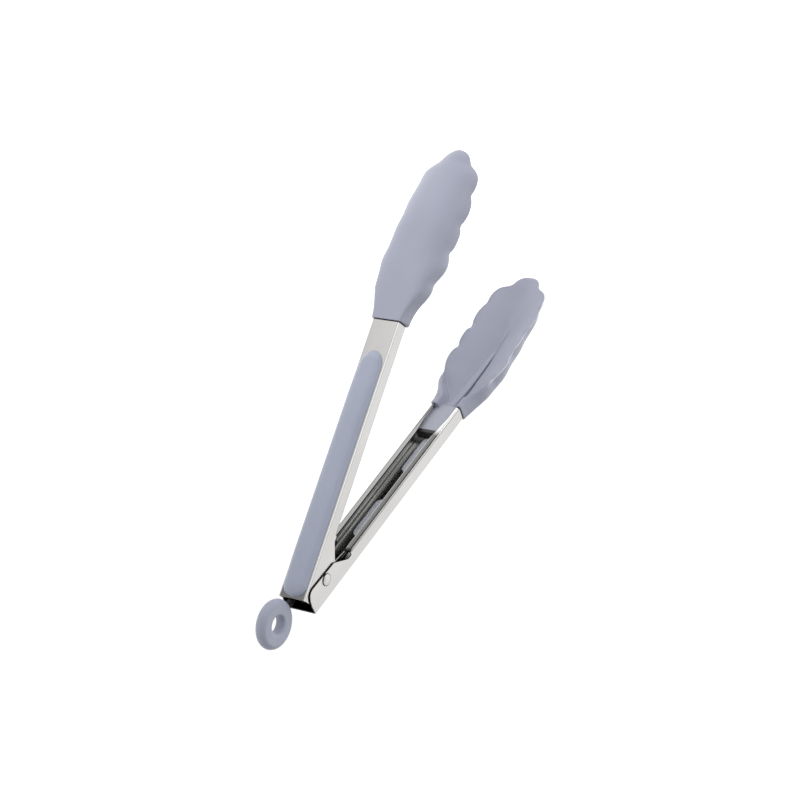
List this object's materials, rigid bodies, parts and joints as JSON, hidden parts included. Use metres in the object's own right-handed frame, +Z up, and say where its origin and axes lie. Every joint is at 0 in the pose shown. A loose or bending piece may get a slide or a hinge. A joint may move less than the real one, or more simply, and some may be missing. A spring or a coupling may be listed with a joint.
{
  "type": "spring loaded kitchen tongs",
  "caption": "Spring loaded kitchen tongs with stainless channel arms, blue-grey silicone heads with scalloped edges, soft grips and a pull ring that locks them shut.",
  "frame": {"origin": "centre of the bounding box on the surface that the open tongs lie on, on their side", "axes": "+X from the hinge towards the heads along the bisector of the open arms, +Z up, close to the hinge pin's axis"},
  "size_m": [0.3124, 0.132, 0.043],
  "materials": {
    "steel": "polished",
    "silicone": "matte",
    "grip": "satin",
    "core": "matte",
    "rivet": "satin",
    "spring": "drawn wire",
    "lock": "matte",
    "ring": "matte"
  },
  "bodies": {
    "outer_arm_body": {"outer_arm": "steel", "outer_head": "silicone", "outer_head_core": "core", "outer_grip": "grip", "hinge_rivet": "rivet", "hinge_sleeve": "rivet", "torsion_spring": "spring"},
    "inner_arm_body": {"inner_arm": "steel", "inner_head": "silicone", "inner_head_core": "core", "inner_grip": "grip"},
    "lock_body": {"lock_plate": "lock", "pull_ring": "ring"}
  },
  "joints": [
    {"name": "arm_hinge", "type": "hinge", "parent": "outer_arm_body", "child": "inner_arm_body", "pos_m": [-0.10477, -0.00063, 0.01104], "axis": [-0.0496, 0, 0.9988], "range_deg": [-26.4, 0], "stiffness_Nm_per_rad": 1, "springref_deg": 20.05, "deforming": ["torsion_spring"]},
    {"name": "lock_pull", "type": "slide", "parent": "outer_arm_body", "child": "lock_body", "axis": [-0.9724, 0.2284, -0.0483], "range_m": [0, 0.008]}
  ]
}
